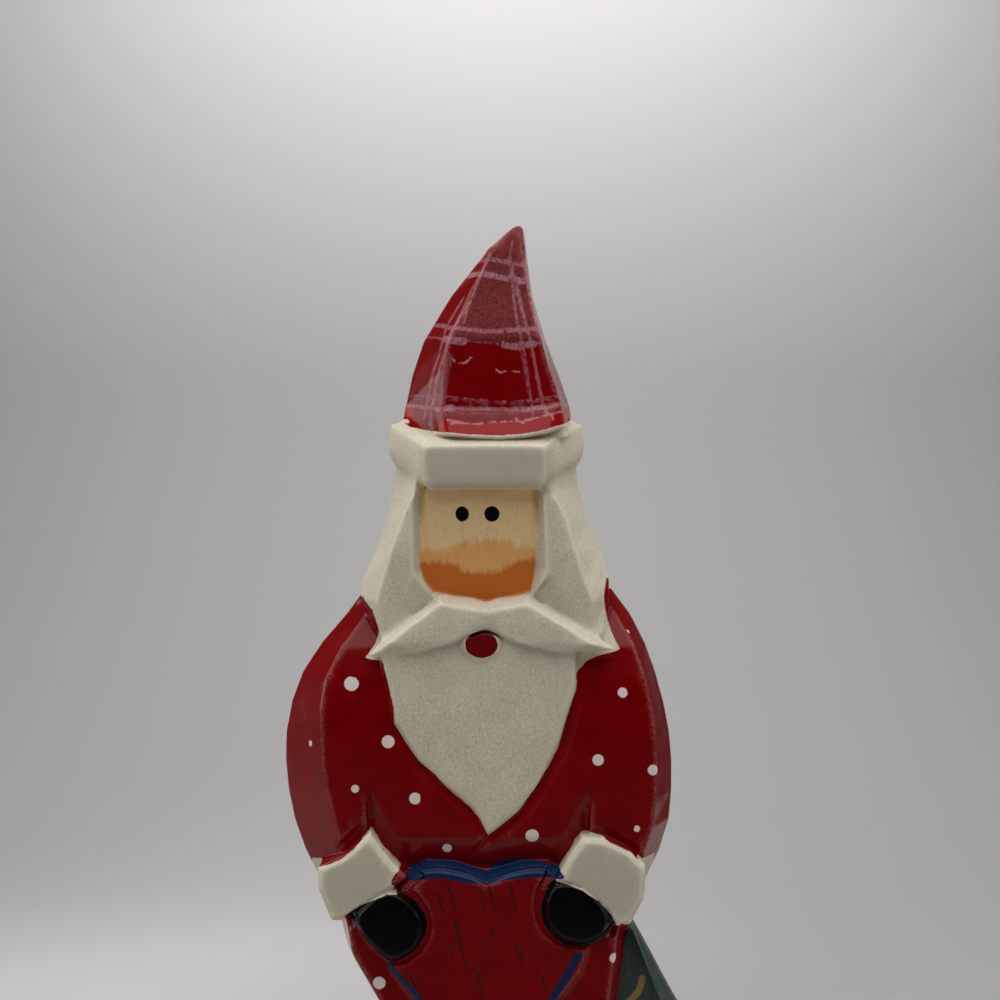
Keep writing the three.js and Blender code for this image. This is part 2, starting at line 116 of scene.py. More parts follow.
# The orange of the cheeks comes in two washes, the second one stronger.
BLUSH_LIGHT = [
    (-20, 234.6), (-14, 234.9), (-9.6, 234.7), (-8.4, 236.6), (-2, 237.2), (3, 237.6), (6.8, 237.3),
    (9, 235.6), (18, 235.3), (18, 215), (-20, 215),
]
BLUSH_DEEP = [
    (-20, 231.6), (-12, 231.3), (-7.6, 231), (-6, 229), (-2, 228.5), (3.6, 228.7), (6.4, 230.6),
    (9, 232), (18, 232.8), (18, 215), (-20, 215),
]
MOUTH_AT = (-0.7, 209.4)
MOUTH_HALF = (4.2, 3.4)
MOUTH = [
    (MOUTH_AT[0] + MOUTH_HALF[0] * math.cos(turn), MOUTH_AT[1] + MOUTH_HALF[1] * math.sin(turn))
    for turn in np.linspace(0, 2 * math.pi, 24, endpoint=False)
]
LEFT_CUFF = [
    (-48, 149), (-44.7, 149.7), (-41.6, 150.5), (-38, 152.2), (-34.9, 154.6), (-32.6, 157.4),
    (-30.6, 159.7), (-29, 157.4), (-27.1, 154.6), (-23.5, 150.7), (-22.6, 149.6), (-24.4, 147.6),
    (-24.7, 145.7), (-23.9, 144.8), (-23.1, 142.8),
    (-25.9, 143), (-28.6, 141.7), (-31, 140.7), (-33.3, 139.7), (-37.3, 136.9), (-37.7, 135.2),
    (-40.8, 134), (-47, 136),
]
RIGHT_CUFF = [
    (26.5, 158.5), (29, 158.5), (32, 157.8), (34.6, 156.1), (38, 154.6), (39.8, 153.5),
    (41.2, 151.8), (41.7, 152.5), (42.7, 151.4), (47, 151), (47, 142), (42, 133.4), (39.3, 133.4),
    (37.2, 134.8), (35.7, 134), (34.2, 137.2), (30.9, 140.9), (26.3, 144.1), (23, 145.4),
    (19.2, 146.4), (20.5, 149.4), (22.2, 152.2), (23.7, 154.4), (24.8, 156.7),
]
LEFT_MITTEN = [
    (-23, 143.2), (-20.7, 142.4), (-18, 140.4), (-15.6, 136.9), (-15.2, 135), (-15.8, 131.4),
    (-17.6, 128.3), (-20.3, 126), (-23, 124.6), (-25.2, 123.8), (-27.4, 126), (-30.9, 129.5),
    (-33.6, 132.6), (-35.6, 135.4), (-36.7, 137.2), (-33.2, 141), (-30.9, 142), (-28.5, 143.1),
    (-25.8, 144.4),
]
RIGHT_MITTEN = [
    (19.2, 146.4), (17.7, 145.3), (16.2, 142.3), (15.4, 138.9), (15.4, 137.4), (16.2, 134.4),
    (18.5, 131.4), (21.4, 129.2), (24.4, 128.4), (28.2, 128.6), (30.8, 129.6), (33.4, 131.4),
    (35.1, 133.7), (34.9, 135.2), (33.9, 138.3), (31, 142.3), (26.4, 145.5), (23, 146.8),
]
HEART = [
    (-27, 124), (-27.5, 135), (-24, 146), (-16, 151.5), (-8, 151.3), (0.8, 148.2), (9.6, 151.3),
    (17.6, 151.5), (25.6, 146), (29, 135), (28.6, 124), (14, 103), (0.8, 90), (-12.5, 103),
]
BEARD_FACET_LEFT = [(-30, 196), (-19.4, 193.3), (-7.5, 196), (4.3, 199.8), (4.3, 215), (-30, 215)]
BEARD_FACET_RIGHT = [(4.3, 199.8), (10.5, 196.6), (19.2, 191.2), (27, 196), (27, 215), (4.3, 215)]
# The blue edge of the heart is thick along its lobes and thin down to its point.
BLUE_TOP = [
    (-21.1, 148), (-19.6, 149.3), (-15.9, 150.9), (-11.5, 151.1), (-6.5, 150.1), (-2, 148.4),
    (0.8, 147.6), (2.2, 149.4), (3.3, 150.1), (6.2, 150.7), (11.1, 151), (16.4, 150.4),
    (20.1, 149.3), (21.6, 148), (21.4, 147.2), (19.7, 147), (15.2, 147.4), (9.1, 147), (5, 146.4),
    (1.7, 145.5), (-1.2, 145.5), (-5.7, 146), (-10.2, 147), (-14.3, 147.1), (-18.4, 146.2),
    (-20.8, 146.2),
]
BLUE_LEFT = [(-25.5, 123.2), (-17.2, 114.1), (-9.2, 103.6), (-3.2, 96.2), (0.6, 92.2)]
BLUE_RIGHT = [(25.3, 126), (18.3, 114.1), (10.6, 103.6), (4.8, 96.4), (1, 92.2)]
# Pores of the wood, filled dark, as strokes down the heart.
HEART_PORES = [
    [(-12.6, 143.9), (-11, 138)], [(-9.3, 144.7), (-7.5, 138)],
    [(-8, 135.8), (-6.4, 129.1), (-4.5, 121.9)], [(-9.1, 129.1), (-8.3, 126.4)],
    [(-1.6, 121.6), (-0.2, 114.4)], [(-19.8, 121.1), (-18.2, 117.1)], [(-1, 143.9), (0.3, 138)],
    [(1.6, 144.4), (2.7, 138)], [(7, 145.2), (8.6, 138.5)], [(2.4, 133.1), (2.2, 130.5)],
    [(8.3, 129.1), (9.1, 125.9)], [(9.9, 127.8), (10.5, 123.8)], [(15.8, 121.1), (16.4, 117.1)],
    [(-5.5, 110.5), (-4.3, 105)], [(4.6, 112), (5.4, 106.8)], [(1.6, 103.5), (2, 99)],
]
# The polka dots of the front, as (x, z, radius).
FRONT_DOTS = [
    (-35.9, 198.7, 2), (-25.9, 183.1, 1.75), (-18.6, 167.8, 1.6), (-10, 154, 1.35),
    (13, 157.7, 1.8), (37.5, 196.3, 1.4), (30.8, 178.2, 1.55), (45.6, 175.5, 1.45),
    (41.3, 159.6, 0.9), (-48.1, 182, 1.2), (-34.8, 170.4, 1.1), (-45.4, 159, 0.8),
    (40.2, 213, 1.2), (-28.2, 118.3, 1.7), (35.2, 125, 1.4), (35.9, 111, 1.3), (-22.4, 104.5, 1.5),
    (25.6, 100.6, 1.7), (-14.6, 92, 1.7), (13, 88.4, 1.6), (-24, 79.6, 1.5), (27, 76, 1.4),
    (-2.6, 76.8, 1.9), (11.4, 66.4, 1.5), (-15.4, 62.6, 1.7), (-25.6, 50.2, 1.4), (22.4, 52.4, 1.8),
    (2.4, 53.6, 1.6), (-9.2, 42, 1.5), (14.6, 38.6, 1.4),
]
# The plaid of the hat, as (width, strength, line). The lines across run round the hat.
PLAID_ACROSS = [
    (1.7, 0.42, [(-12, 316), (0.7, 315.5), (5.7, 314.8), (11.4, 313.8), (24, 313)]),
    (2.2, 0.62, [(-14, 311.8), (-1, 311.3), (4.3, 310.3), (11.4, 309.1), (24, 309)]),
    (1.6, 0.5, [(-24, 298.6), (-13.1, 297.4), (-9.7, 295.9), (-5.9, 295.5), (0.8, 294.6), (7.1, 295),
                (14.7, 295.5), (28, 297)]),
    (0.8, 0.4, [(-24, 296), (-14.7, 293.9), (-9.3, 292.4), (-2.5, 291.9), (3.3, 291.1), (8.3, 290.8),
                (14.6, 291.3), (28, 293)]),
    (2.6, 0.7, [(-10.8, 292.6), (-8.3, 292), (-5.6, 291.9)]),
    (2.4, 0.62, [(5.2, 291), (8.6, 290.4), (13.6, 291.2)]),
    (0.65, 0.55, [(-34, 278.6), (-20.1, 277.6), (-13.8, 277.1), (-7.6, 276.4), (5, 275.4),
                  (11.3, 275.5), (19.6, 276.8), (34, 278)]),
    (0.5, 0.4, [(-20, 276.7), (-7.6, 275.6), (5, 274.7), (12, 274.9), (20, 276)]),
    (1.3, 0.6, [(-34, 276), (-20.9, 274.9), (-15.9, 273.9), (-11.8, 273.3), (-9.6, 273.6),
                (0.8, 273.3), (9.2, 273.2), (17.5, 273.7), (21.2, 274.6), (34, 276)]),
    (2.1, 0.75, [(-12.3, 273.2), (-10.4, 273.5), (-8.6, 273.6)]),
    (1.9, 0.6, [(8, 273.3), (12, 273.2), (16, 273.7)]),
    (0.45, 0.45, [(-9.6, 272.2), (-1.1, 272), (9.2, 272.2)]),
]
PLAID_DOWN = [
    (0.9, 0.55, [(1.5, 317.3), (-1.8, 308.9), (-3.9, 303.2), (-5.7, 297.1)]),
    (0.75, 0.5, [(-5.8, 304.6), (-9.7, 297.9), (-11, 294.3), (-12.6, 288), (-14.7, 281.6), (-16.7, 271)]),
    (1.1, 0.5, [(-3.9, 303.2), (-8.9, 294.8), (-10.1, 290.9), (-11.8, 285.9), (-13.4, 279.6), (-15, 269)]),
    (2.4, 0.2, [(-9.4, 287.5), (-10.9, 280), (-11.8, 271.5)]),
    (0.9, 0.42, [(7.8, 320.9), (7.1, 316.4), (7.5, 311.1), (8, 304.9), (8.8, 298.8), (10.5, 290.9),
                 (11.7, 283.8), (13.3, 271)]),
    (1.2, 0.5, [(8, 311.1), (9.3, 306.3), (10.5, 300.5), (12.8, 290.9), (13.8, 285.9), (15.4, 277.4),
                (16.9, 272)]),
    (0.6, 0.4, [(9.5, 290.9), (10.7, 285.9), (12, 277.4)]),
    (1.3, 0.6, [(11.2, 315.1), (12.8, 304.9), (14.7, 296.2), (17.6, 288), (20.9, 279.6), (22.9, 272)]),
]
# On its sides the lines down the hat are given as [y, z].
PLAID_SIDE = [
    (1.1, 0.5, [(23.6, 268), (22.4, 292), (21.6, 318)]),
    (0.7, 0.45, [(26.2, 268), (24, 292), (22.2, 318)]),
    (1.1, 0.5, [(35.4, 268), (30.5, 292), (24, 318)]),
]
HAT_CRACK = [(-10, 270.2), (-3.9, 269.1), (4.3, 269.7), (11.1, 270), (16.6, 271.3), (22, 272.8)]
HAT_SCRATCHES = [
    [(-9.1, 287.2), (-7.7, 286.1), (-6.4, 285.7), (-5, 285.9), (-4.1, 287), (-3.5, 287.4)],
    [(-9, 268.9), (-7.4, 269.6), (-5.5, 269.1), (-3, 269.3), (-1.2, 268.9)],
    [(16.8, 272.2), (18.4, 271.4), (18.9, 270.2)],
    [(8.6, 270.6), (9.9, 269.6), (10.8, 269.2)],
    [(3.3, 284), (4.4, 283.2), (5.8, 283.6)], [(8, 283.6), (9.7, 283.4)],
]
HAT_UPPER = [
    (1.5, 318), (-1.8, 309), (-3.9, 303.2), (-6.5, 297), (-8.6, 292.6), (2, 291.6), (14, 291),
    (13.4, 298), (11.4, 309), (9.6, 316), (7.8, 319),
]
EYES = [(-6, 244.6, 1.85, 2.1), (2.1, 244.6, 2.1, 2.14)]  # x, z, half width, half height

# The gold lines on the tree's front.
GOLD = [
    [(43.4, 117.2), (42.8, 114.6), (41.2, 112.2), (38.5, 109.6), (34, 107.4)],
    [(50, 103.6), (46, 101.8), (40, 101.2), (33.6, 102.6)],
    [(29, 84.5), (34, 79.8), (41, 78), (48, 79.4), (53.6, 83.4)],
    [(26.6, 69.5), (32, 66.2), (40, 64.8), (49, 66.4), (57, 70.4)],
    [(27.6, 47.4), (34, 42.2), (43, 40.4), (52, 43), (58.6, 48.2)],
    [(25.6, 31.6), (33, 28.6), (43, 27.4), (54, 29), (62, 32.8)],
]

# Lines round the sides and back

HAIR_BEHIND = [
    (-60, 222.6), (-34.2, 222.6), (-31.6, 214), (-27.6, 206), (-24.6, 202.7), (0, 201.8),
    (26, 202.7), (31, 208), (34, 215), (35.6, 224.4), (60, 224.4), (60, 300), (-60, 300),
]
# The polka dots of the back, as (x, z, radius), and those of the two sides, as (y, z, radius).
BACK_DOTS = [
    (-22, 190, 1.6), (2, 184, 1.8), (24, 192, 1.5), (-12, 166, 1.7), (14, 162, 1.5), (-25, 146, 1.6),
    (1, 140, 1.8), (22, 138, 1.5), (-10, 118, 1.6), (14, 112, 1.8), (-20, 98, 1.5), (2, 90, 1.7),
    (20, 84, 1.5), (-14, 70, 1.8), (6, 60, 1.6), (-22, 46, 1.5), (-2, 38, 1.7), (18, 44, 1.6),
    (-45, 176, 1.4), (44, 178, 1.4), (-43, 154, 1.3), (40, 156, 1.3),
]
LEFT_DOTS = [
    (24, 200, 1.5), (36, 184, 1.4), (20, 178, 1.6), (31, 164, 1.3), (26, 118, 1.5), (34, 98, 1.4),
    (20, 90, 1.6), (30, 70, 1.5), (20, 56, 1.4), (35, 48, 1.5),
]
RIGHT_DOTS = [(24, 202, 1.5), (35, 186, 1.4), (21, 180, 1.6), (32, 166, 1.4), (25, 158, 1.2)]
SKIRT_AT = [7, 14, 40, 66, 91, 108, 129, 150]
SKIRT = {
    "left": [-33, -35, -30.8, -27.6, -26.2, -28.8, -39.4, -43.5],
    "left ridge": [-24, -26, -23.4, -21.4, -21.4, -25.2, -36.6, -38],
    "right ridge": [26, 28, 26.4, 26.6, 29.4, 32.8, 35.6, 37],
    "right": [35, 37, 34.2, 33.4, 34.6, 37, 39.8, 41.6],
    "front": [-1, -2.6, -1, 0.1, 0.6, -0.6, -1.6, -2],
}
SKIRT_SIDE = 13.0
SKIRT_BACK = 47.0
HEM_OUT = 2.4


def flow(points, steps=5):
    """A smooth line through a few points."""
    points = np.array(points, float)
    ends = np.vstack([2 * points[0] - points[1], points, 2 * points[-1] - points[-2]])
    t = np.linspace(0, 1, steps, endpoint=False)[:, None]
    line = []
    for a, b, c, d in zip(ends, ends[1:], ends[2:], ends[3:]):
        line.append(b + 0.5 * t * (c - a + t * (2 * a - 5 * b + 4 * c - d + t * (3 * (b - c) + d - a))))
    return np.vstack([*line, points[-1:]])


def off_line(x, z, line, closed=False):
    """How far each [x, z] point is from a line."""
    line = np.array(line, float)
    ends = np.roll(line, -1, axis=0) if closed else line[1:]
    best = np.full(len(x), np.inf)
    for (ax, az), (bx, bz) in zip(line, ends):
        dx, dz = bx - ax, bz - az
        share = np.clip(((x - ax) * dx + (z - az) * dz) / (dx * dx + dz * dz + 1e-9), 0, 1)
        best = np.minimum(best, np.hypot(x - ax - share * dx, z - az - share * dz))
    return best


def within(x, z, outline):
    """How far each [x, z] point is inside a closed outline, and less than 0 outside it."""
    outline = np.array(outline, float)
    inside = np.zeros(len(x), bool)
    for (ax, az), (bx, bz) in zip(outline, np.roll(outline, -1, axis=0)):
        if az != bz:
            crosses = (az > z) != (bz > z)
            inside ^= crosses & (x < ax + (bx - ax) * (z - az) / (bz - az))
    return np.where(inside, 1, -1) * off_line(x, z, outline, closed=True)


def noise(points, size, seed):
    """Smooth noise from -1 to 1 with lumps of about that size, the same in each run."""
    lattice = np.random.default_rng(seed).uniform(-1, 1, (24, 24, 24))
    at = points / np.broadcast_to(size, 3) + 1000
    cell = np.floor(at).astype(int)
    t = at - cell
    t = t * t * (3 - 2 * t)
    total = np.zeros(len(points))
    for corner in np.ndindex(2, 2, 2):
        share = np.prod(np.where(corner, t, 1 - t), axis=1)
        total += share * lattice[tuple(((cell + corner) % 24).T)]
    return total


def skirt_profile(name, z):
    line = flow(np.column_stack([SKIRT_AT, SKIRT[name]]))
    levels = np.linspace(HEM_BOTTOM, 142, 9)
    return np.interp(z, levels, np.interp(levels, line[:, 0], line[:, 1]))


def outside_skirt(x, y, z):
    """How far each point is outside the robe's skirt and hem, as their blocks are cut."""
    left, left_ridge, right_ridge, right, front = (skirt_profile(name, z) for name in SKIRT)
    bow = np.interp(z, [HEM_BOTTOM, HEM_BOTTOM + 3, HEM_TOP - 3, HEM_TOP], [0.4, HEM_OUT, HEM_OUT, 0.4])
    bow = np.where((z > HEM_BOTTOM - 1) & (z < HEM_TOP + 1), bow, 0)
    middle = (left + right) / 2
    half = (right - left) / 2 * 0.7
    side_back = SKIRT_BACK - 0.32 * (SKIRT_BACK - front)
    plan = [
        (left_ridge, front), (right_ridge, front), (right, SKIRT_SIDE + 0 * x), (right, side_back),
        (middle + half, SKIRT_BACK + 0 * x), (middle - half, SKIRT_BACK + 0 * x), (left, side_back),
        (left, SKIRT_SIDE + 0 * x),
    ]
    out = np.full(len(x), -np.inf)
    for (ax, ay), (bx, by) in zip(plan, plan[1:] + plan[:1]):
        dx, dy = bx - ax, by - ay
        out = np.maximum(out, ((x - ax) * dy - (y - ay) * dx) / np.hypot(dx, dy))
    return out - bow


# The carving
# The CAD solid is copied and filled with a fine even mesh. Its ridges are rounded as paint rounds
# them, and then the finer cuts are made.


def apply_modifiers(piece):
    graph = bpy.context.evaluated_depsgraph_get()
    mesh = bpy.data.meshes.new_from_object(piece.evaluated_get(graph))
    piece.modifiers.clear()
    piece.data = mesh


def fine_copy():
    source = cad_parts["santa"]
    piece = bpy.data.objects.new("santa_carving", source.data.copy())
    piece.data.materials.clear()
    bpy.context.scene.collection.objects.link(piece)
    remesh = piece.modifiers.new("even", "REMESH")
    remesh.mode = "VOXEL"
    remesh.voxel_size = VOXEL * MM
    remesh.use_smooth_shade = True
    soften = piece.modifiers.new("soften", "SMOOTH")
    soften.factor = 0.5
    soften.iterations = 3
    apply_modifiers(piece)
    return piece


def positions(mesh):
    """Each vertex in the carver's marks."""
    found = np.empty(len(mesh.vertices) * 3, np.float32)
    mesh.vertices.foreach_get("co", found)
    return found.reshape(-1, 3) / MM + ORIGIN


def place_vertices(mesh, points):
    mesh.vertices.foreach_set("co", ((points - ORIGIN) * MM).astype(np.float32).ravel())
    mesh.update()


def normals(mesh):
    found = np.empty(len(mesh.vertices) * 3, np.float32)
    mesh.vertex_normals.foreach_get("vector", found)
    return found.reshape(-1, 3)


def averager(mesh):
    """A function that averages a value over the neighbours of each vertex."""
    ends = np.empty(len(mesh.edges) * 2, np.int32)
    mesh.edges.foreach_get("vertices", ends)
    first, second = ends.reshape(-1, 2).T
    size = len(mesh.vertices)
    share = 1 / np.bincount(ends, minlength=size)

    def average(values):
        sums = [
            np.bincount(first, column[second], size) + np.bincount(second, column[first], size)
            for column in values.T
        ]
        return np.column_stack(sums) * share[:, None]

    return average


def step(value, low, high):
    """0 at low and 1 at high, smooth between."""
    t = np.clip((value - low) / (high - low), 0, 1)
    return t * t * (3 - 2 * t)


def hung(y, z):
    """A height measured along the brim, which hangs lower in front."""
    return z + BRIM_DROOP * (1 - np.clip(y / BRIM_SIDE, 0, 1))


def groove(x, z, line, width, deep):
    """A V cut along a line."""
    return deep * np.clip(1 - off_line(x, z, line) / width, 0, 1)


def cuff_inside(x, z):
    return np.maximum(within(x, z, LEFT_CUFF), within(x, z, RIGHT_CUFF))


def round_over(points, average):
    """The brim and the hem are worn rounder than the rest."""
    x, y, z = points.T
    level = hung(y, z)
    brim_share = step(level, 254.5, 256.5) * step(level, 273.5, 270.5)
    hem_share = step(z, HEM_BOTTOM - 1.5, HEM_BOTTOM + 1) * step(z, HEM_TOP + 1.5, HEM_TOP - 1)
    share = np.maximum(brim_share, 0.7 * hem_share * (x < 38))[:, None]
    robe_share = step(z, 34, 38) * step(z, 225, 215) * (x < 56) * (outside_skirt(x, y, z) < 0.3)
    robe_share *= 1 - step(np.maximum(cuff_inside(x, z), within(x, z, HEART)), -2.5, -1.5) * (y < 30)
    share = np.maximum(share, 0.9 * robe_share[:, None])
    for _ in range(int(18 * (0.45 / VOXEL) ** 2)):
        points += 0.6 * share * (average(points) - points)


def press_front(points, front):
    """Set the depth of the front where the photograph shows it nearer or deeper."""
    x, y, z = points.T
    foot_line = np.interp(x, *np.array(HAT_FOOT).T)
    above = z - foot_line
    hat_foot = 1.4 + 0.5 * np.clip(above, -1, 8)
    share = front * step(np.abs(x - 4), 19, 12) * step(above, -1.4, -0.4) * step(above, 8, 5)
    y += share * np.minimum(hat_foot - y, 0)

    mouth = -1.1 - 0.12 * np.clip(z - 206, 0, 7)
    share = front * step(within(x, z, MOUTH), -1.6, -0.2)
    y += share * np.minimum(mouth - y, 0)

    moat = HEART_FRONT - 0.055 * (z - 149.6) + 0.7
    y += front * step(within(x, z, HEART), 0.5, 3) * np.minimum(moat - y, 0)

    proud = np.clip(MITTEN_FRONT - y, 0, 9) * (np.abs(z - 136) < 14) * (np.abs(x) < 40)
    y += 0.75 * proud

    panel = 4.9 + 2.1 * step(z, 250, 236)
    y += front * step(within(x, z, FACE), 0, 1.5) * np.minimum(panel - y, 0)

    left, left_ridge, right_ridge, right, skirt_front = (skirt_profile(name, z) for name in SKIRT)
    facet = skirt_front + (x - right_ridge) / (right - right_ridge) * (SKIRT_SIDE - skirt_front)
    on_tree = (outside_skirt(x, y, z) > -0.5) & (x > 20) & (z > 34) & (z < TREE_TOP)
    y += np.where(on_tree, np.clip(np.minimum(facet, TREE_FRONT) - y, 0, 6), 0) * front


def carve(mesh):
    """The finer cuts. The return value is how far each vertex stands proud of those round it."""
    points = positions(mesh)
    average = averager(mesh)
    level = hung(points[:, 1], points[:, 2])
    points[:, 2] -= 1.6 * step(level, 269.4, 271.6) * step(level, 284, 273)
    points[:, 2] -= 0.7 * step(level, 260, 257) * step(level, 254, 255.6) * (points[:, 1] < 3)
    points[:, 2] += 1.2 * step(points[:, 2], 317, 323.5)
    round_over(points, average)
    place_vertices(mesh, points)
    front = np.clip(-1.6 * normals(mesh)[:, 1] + 0.6 * normals(mesh)[:, 2], 0, 1)
    front *= points[:, 1] < 14
    press_front(points, front)

    x, y, z = points.T
    into = 0.05 * np.clip(within(x, z, BEARD_FACET_LEFT), 0, 14)
    into += 0.06 * np.clip(within(x, z, BEARD_FACET_RIGHT), 0, 14)
    into += groove(x, z, [(0.9, 157.2), (-3.8, 152)], 1.1, 0.5)
    into += groove(x, z, [(-33.5, 160.1), (-39.2, 154.7)], 1.2, 0.6)
    for line in HEART_PORES:
        into += groove(x, z, line, 0.5, 0.3)
    points[:, 1] += front * into
    place_vertices(mesh, points)

    facing = normals(mesh)
    smooth = points
    for _ in range(10):
        smooth = average(smooth)
    proud = np.einsum("ij,ij->i", points - smooth, facing)
    lumps = 0.10 * noise(points, (9, 9, 14), 1) + 0.05 * noise(points, (3.4, 3.4, 7), 2)
    place_vertices(mesh, points + facing * lumps[:, None])
    return proud


# Paint
# Each paint is a measure at every vertex: how far inside its edge the vertex lies, in millimetres.


def surface_point(points, axis, side, across, z):
    """The surface at a height, seen along an axis from its low side (-1) or its high side (1)."""
    other = 1 - axis
    near = np.hypot(points[:, other] - across, points[:, 2] - z) < 1.2
    depth = side * np.max(side * points[near, axis])
    return np.array([across, depth, z]) if axis else np.array([depth, across, z])


def dot_field(points):
    best = np.full(len(points), -9.0)
    for axis, side, dots in [(1, -1, FRONT_DOTS), (1, 1, BACK_DOTS), (0, -1, LEFT_DOTS), (0, 1, RIGHT_DOTS)]:
        for across, z, radius in dots:
            centre = surface_point(points, axis, side, across, z)
            best = np.maximum(best, radius - np.linalg.norm(points - centre, axis=1))
    return best


def plaid_fields(points, facing):
    """How far inside the nearest stroke each vertex is, and how thick the paint of that stroke is."""
    x, y, z = points.T
    best = np.full(len(points), -9.0)
    thick = np.zeros(len(points))
    on_front = facing[:, 1] < -0.25
    on_side = np.abs(facing[:, 1]) <= 0.25
    everywhere = np.ones(len(x), bool)
    strokes = [(stroke, x, everywhere) for stroke in PLAID_ACROSS]
    strokes += [(stroke, x, on_front) for stroke in PLAID_DOWN]
    strokes += [(stroke, x, ~on_front & ~on_side) for stroke in PLAID_DOWN]
    strokes += [(stroke, y, on_side) for stroke in PLAID_SIDE]
    for (width, opacity, line), across, here in strokes:
        inside = np.where(here & (z > 264), 0.4 * width - off_line(across, z, flow(line, 3)), -9)
        nearer = inside > best
        best[nearer] = inside[nearer]
        thick[nearer] = opacity
    return best, thick


def paint_fields(points, facing):
    x, y, z = points.T
    behind = np.clip((y - FRONT_END) / 6, 0, 1)
    level = hung(y, z)
    head = [*HEAD_LEFT, *BEARD_LEFT, *BEARD_RIGHT, *HEAD_RIGHT, *HAT_FOOT[::-1]]
    outside = outside_skirt(x, y, z)
    in_front = np.where(y < FRONT_END + 4, 9, -9)

    hem = np.minimum(z - HEM_BOTTOM + 0.2, HEM_TOP + 0.3 - z)
    cuffs = np.minimum(cuff_inside(x, z), 34 - y)
    white_front = np.maximum(within(x, z, head), cuffs)
    white_behind = np.maximum(np.minimum(within(x, z, HAIR_BEHIND), BRIM_TOP - 0.9 - level), cuffs)
    white = white_front * (1 - behind) + white_behind * behind

    tree = np.minimum(outside - 0.5, np.minimum(TREE_TOP - z, TREE_BACK + 1.5 - y))
    tree = np.minimum(tree, np.where((x > 20) & (y > 2), 9, -9))
    blue = np.maximum(within(x, z, BLUE_TOP), 0.85 - off_line(x, z, flow(BLUE_LEFT)))
    blue = np.maximum(blue, 1.05 - off_line(x, z, flow(BLUE_RIGHT)))
    mittens = np.maximum(within(x, z, LEFT_MITTEN), within(x, z, RIGHT_MITTEN))
    pores = np.max([0.3 - off_line(x, z, line) for line in HEART_PORES], axis=0)
    eyes = np.max([1.9 * (1 - np.hypot((x - ex) / w, (z - ez) / h)) for ex, ez, w, h in EYES], axis=0)
    boots = np.minimum(np.minimum(21 - z, outside - 0.4), np.where(y < 2, 9, -9))
    boots = np.minimum(boots, TOES_HALF - np.abs(x - TOES_MIDDLE))
    face = np.minimum(np.minimum(within(x, z, FACE), in_front), 2 * (y - 3.6))
    crack = np.interp(x, *np.array(HAT_CRACK).T)
    foot = np.minimum(crack - z, np.minimum(x + 12.5, 24 - x)) * (1 - behind) + (275 - level) * behind
    scratches = [0.28 - off_line(x, z, line) for line in [HAT_CRACK, *HAT_SCRATCHES]]
    gold = [0.9 - off_line(x, z, flow(line, 3)) for line in GOLD]
    plaid, plaid_thick = plaid_fields(points, facing)
    brim_front = np.minimum(np.minimum(level - 255, 269.8 - level), 21 - np.abs(x - 1) * 1.1)
    return {
        "upper": np.minimum(within(x, z, HAT_UPPER), in_front + 9 * (y < 22)),
        "foot": np.where(z > 262, foot, -9),
        "plaid": plaid,
        "plaid_thick": plaid_thick,
        "scratch": np.minimum(np.max(scratches, axis=0), in_front),
        "tree": tree,
        "gold": np.minimum(np.minimum(np.max(gold, axis=0), tree), np.where(facing[:, 1] < -0.2, 9, -9)),
        "dot": dot_field(points),
        "hem": np.minimum(hem, np.where(tree > 0, -9, 9)),
        "white": white,
        "grey": np.maximum(brim_front - 1.2, cuffs - 0.6),
        "face": face,
        "blush_light": within(x, z, BLUSH_LIGHT),
        "blush_deep": within(x, z, BLUSH_DEEP),
        "eye": np.minimum(eyes, in_front),
        "mouth": np.minimum(within(x, z, MOUTH) + 0.2, in_front),
        "mitten": np.minimum(np.minimum(mittens, in_front), -cuffs),
        "blue": np.minimum(blue, in_front),
        "pore": np.minimum(pores, in_front),
        "boot": boots,
        "base": BASE_TOP + 0.2 - z,
    }


SHARP = ["plaid", "white", "face", "eye", "mouth", "mitten", "blue", "dot", "tree", "gold", "scratch"]


def lighten(piece, fields):
    """Fewer triangles, kept fine along the edges of the paint."""
    near_edge = np.zeros(len(piece.data.vertices), bool)
    for name in SHARP:
        near_edge |= np.abs(fields[name]) < 0.8
    group = piece.vertex_groups.new(name="coarse")
    group.add(np.flatnonzero(~near_edge).tolist(), 1.0, "REPLACE")
    group.add(np.flatnonzero(near_edge).tolist(), 0.3, "REPLACE")
    fewer = piece.modifiers.new("fewer", "DECIMATE")
    fewer.ratio = min(1, TRIANGLES / (2 * len(piece.data.polygons)))
    fewer.vertex_group = group.name
    fewer.use_collapse_triangulate = True
    apply_modifiers(piece)


def add_fields(mesh, fields):
    for name, values in fields.items():
        layer = mesh.attributes.new("paint_" + name, "FLOAT", "POINT")
        layer.data.foreach_set("value", np.clip(values, -9, 9).astype(np.float32))


def fields_of(mesh):
    return paint_fields(positions(mesh), normals(mesh))


carving = fine_copy()
add_fields(carving.data, {"proud": carve(carving.data)})
lighten(carving, fields_of(carving.data))
carving.data.shade_smooth()
add_fields(carving.data, fields_of(carving.data))

# The paint's material

material = bpy.data.materials.new("painted_wood")
material.use_nodes = True
nodes = material.node_tree.nodes
shader = nodes["Principled BSDF"]


def put(value, socket):
    if isinstance(value, bpy.types.NodeSocket):
        material.node_tree.links.new(value, socket)
    else:
        socket.default_value = value


def calc(operation, *values):
    made = nodes.new("ShaderNodeMath")
    made.operation = operation
    for value, socket in zip(values, made.inputs):
        put(value, socket)
    return made.outputs[0]


def ramp(value, low, high, start=0.0, end=1.0):
    """From start at low to end at high, smooth between."""
    made = nodes.new("ShaderNodeMapRange")
    made.interpolation_type = "SMOOTHSTEP"
    for given, name in [(value, "Value"), (low, "From Min"), (high, "From Max"), (start, "To Min"),
                        (end, "To Max")]:
        put(given, made.inputs[name])
    return made.outputs["Result"]


